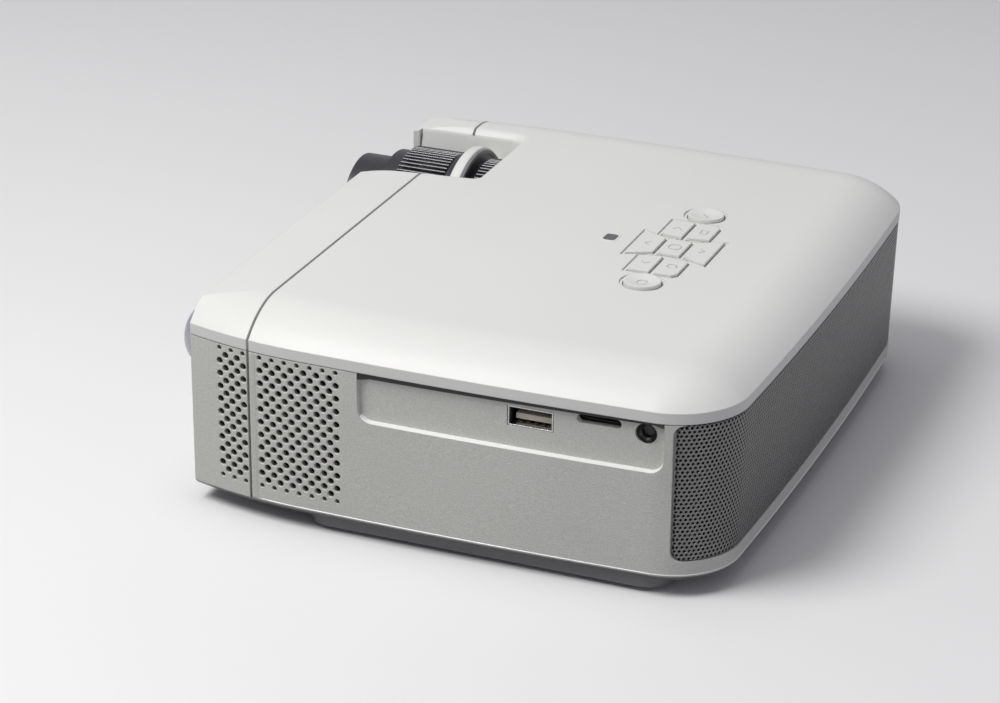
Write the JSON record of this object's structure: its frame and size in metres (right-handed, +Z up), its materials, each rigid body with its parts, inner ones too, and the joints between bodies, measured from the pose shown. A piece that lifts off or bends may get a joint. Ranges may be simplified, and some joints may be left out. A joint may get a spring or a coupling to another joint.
{
  "type": "projector with disc player",
  "caption": "Small table-top projector with a disc tray, lens rings, keypad, vents, sockets and a wrap-round perforated speaker grille.",
  "frame": {"origin": "centre of the bounding box at the underside of the feet", "axes": "+Z up, the lens looks along -Y, the socket side is +X"},
  "size_m": [0.1952, 0.1722, 0.0656],
  "materials": {
    "case_side": "fine grained",
    "lid_white": "satin",
    "key_white": "satin",
    "base_grey": "satin",
    "grille_metal": "perforated",
    "foot_rubber": "matte",
    "screw_steel": "plain",
    "insert_brass": "turned",
    "lens_black": "gloss",
    "ring_black": "ribbed",
    "lens_glass": "clear",
    "engine_metal": "cast",
    "lamp_board": "plain",
    "sink_metal": "extruded",
    "fan_plastic": "matte",
    "speaker_frame": "matte",
    "cone_paper": "matte",
    "board_green": "satin",
    "socket_steel": "plated",
    "socket_tongue": "matte",
    "socket_black": "matte",
    "loader_steel": "zinc plated",
    "tray_plastic": "matte",
    "window_dark": "clear dark",
    "window_clear": "translucent"
  },
  "bodies": {
    "case": {"audio_jack": "socket_black", "board_posts": "insert_brass", "body_shell": "case_side", "bottom_cover": "base_grey", "card_slot": "socket_black", "case_screws": "screw_steel", "fan_frame": "fan_plastic", "feet": "foot_rubber", "front_cap": "case_side", "heat_sink": "sink_metal", "key_board": "board_green", "lamp_module": "lamp_board", "lens_bridge": "lid_white", "lens_collar": "lens_black", "lens_sleeve": "lens_black", "lid_front": "lid_white", "lid_main": "lid_white", "light_engine": "engine_metal", "loader_case": "loader_steel", "loader_rails": "fan_plastic", "main_board": "board_green", "power_inlet": "socket_black", "power_pin": "screw_steel", "receiver_sensor": "socket_black", "receiver_window": "window_clear", "speaker_cone_left": "cone_paper", "speaker_cone_right": "cone_paper", "speaker_grille": "grille_metal", "speaker_left": "speaker_frame", "speaker_right": "speaker_frame", "top_window": "window_dark", "tripod_insert": "insert_brass", "usb_shell": "socket_steel", "usb_tongue": "socket_tongue"},
    "tray": {"disc_tray": "tray_plastic", "tray_front": "lid_white", "spindle_motor": "screw_steel", "guide_rods": "screw_steel"},
    "eject_button": {"eject_button": "key_white"},
    "spindle": {"spindle_hub": "fan_plastic"},
    "carriage": {"laser_sled": "tray_plastic", "laser_lens": "lens_glass"},
    "lead_screw": {"lead_screw": "screw_steel"},
    "focus_ring": {"focus_ring": "ring_black"},
    "lens": {"lens_tube": "lens_black", "front_glass": "lens_glass", "rear_glass": "lens_glass"},
    "keystone_ring": {"keystone_ring": "ring_black"},
    "impeller": {"fan_impeller": "fan_plastic"},
    "key_center": {"key_center": "key_white"},
    "key_front": {"key_front": "key_white"},
    "key_left_front": {"key_left_front": "key_white"},
    "key_left_rear": {"key_left_rear": "key_white"},
    "key_rear": {"key_rear": "key_white"},
    "key_right_front": {"key_right_front": "key_white"},
    "key_right_rear": {"key_right_rear": "key_white"},
    "key_round_left": {"key_round_left": "key_white"},
    "key_round_right": {"key_round_right": "key_white"}
  },
  "joints": [
    {"name": "tray_slide", "type": "slide", "parent": "case", "child": "tray", "axis": [0, -1, 0], "range_m": [0, 0.105]},
    {"name": "eject_press", "type": "slide", "parent": "tray", "child": "eject_button", "axis": [0, 1, 0], "range_m": [0, 0.0006], "stiffness_N_per_m": 500, "springref_m": -0.0006},
    {"name": "spindle_spin", "type": "hinge", "parent": "tray", "child": "spindle", "pos_m": [0, -0.01235, 0.0132], "axis": [0, 0, 1], "continuous": true},
    {"name": "carriage_slide", "type": "slide", "parent": "tray", "child": "carriage", "axis": [0, 1, 0], "range_m": [0, 0.0245]},
    {"name": "screw_spin", "type": "hinge", "parent": "tray", "child": "lead_screw", "pos_m": [0.009, 0.02465, 0.011], "axis": [0, 1, 0], "range_deg": [0, 2940]},
    {"name": "focus_turn", "type": "hinge", "parent": "case", "child": "focus_ring", "pos_m": [-0.0497, -0.06135, 0.041], "axis": [0, 1, 0], "range_deg": [-60, 60]},
    {"name": "lens_slide", "type": "slide", "parent": "case", "child": "lens", "axis": [0, -1, 0], "range_m": [-0.0021, 0.0021]},
    {"name": "keystone_turn", "type": "hinge", "parent": "case", "child": "keystone_ring", "pos_m": [-0.0497, -0.03875, 0.041], "axis": [0, 1, 0], "range_deg": [-35, 35]},
    {"name": "fan_spin", "type": "hinge", "parent": "case", "child": "impeller", "pos_m": [0.0859, -0.04085, 0.0313], "axis": [1, 0, 0], "continuous": true},
    {"name": "key_center_press", "type": "slide", "parent": "case", "child": "key_center", "axis": [0, 0, -1], "range_m": [0, 0.0005], "stiffness_N_per_m": 400, "springref_m": -0.0005},
    {"name": "key_front_press", "type": "slide", "parent": "case", "child": "key_front", "axis": [0, 0, -1], "range_m": [0, 0.0005], "stiffness_N_per_m": 400, "springref_m": -0.0005},
    {"name": "key_left_front_press", "type": "slide", "parent": "case", "child": "key_left_front", "axis": [0, 0, -1], "range_m": [0, 0.0005], "stiffness_N_per_m": 400, "springref_m": -0.0005},
    {"name": "key_left_rear_press", "type": "slide", "parent": "case", "child": "key_left_rear", "axis": [0, 0, -1], "range_m": [0, 0.0005], "stiffness_N_per_m": 400, "springref_m": -0.0005},
    {"name": "key_rear_press", "type": "slide", "parent": "case", "child": "key_rear", "axis": [0, 0, -1], "range_m": [0, 0.0005], "stiffness_N_per_m": 400, "springref_m": -0.0005},
    {"name": "key_right_front_press", "type": "slide", "parent": "case", "child": "key_right_front", "axis": [0, 0, -1], "range_m": [0, 0.0005], "stiffness_N_per_m": 400, "springref_m": -0.0005},
    {"name": "key_right_rear_press", "type": "slide", "parent": "case", "child": "key_right_rear", "axis": [0, 0, -1], "range_m": [0, 0.0005], "stiffness_N_per_m": 400, "springref_m": -0.0005},
    {"name": "key_round_left_press", "type": "slide", "parent": "case", "child": "key_round_left", "axis": [0, 0, -1], "range_m": [0, 0.0005], "stiffness_N_per_m": 400, "springref_m": -0.0005},
    {"name": "key_round_right_press", "type": "slide", "parent": "case", "child": "key_round_right", "axis": [0, 0, -1], "range_m": [0, 0.0005], "stiffness_N_per_m": 400, "springref_m": -0.0005}
  ],
  "couplings": [
    {"joint": "screw_spin", "follows": "carriage_slide", "rad_per_m": 2094.4},
    {"joint": "lens_slide", "follows": "focus_turn", "m_per_rad": 0.00191}
  ]
}
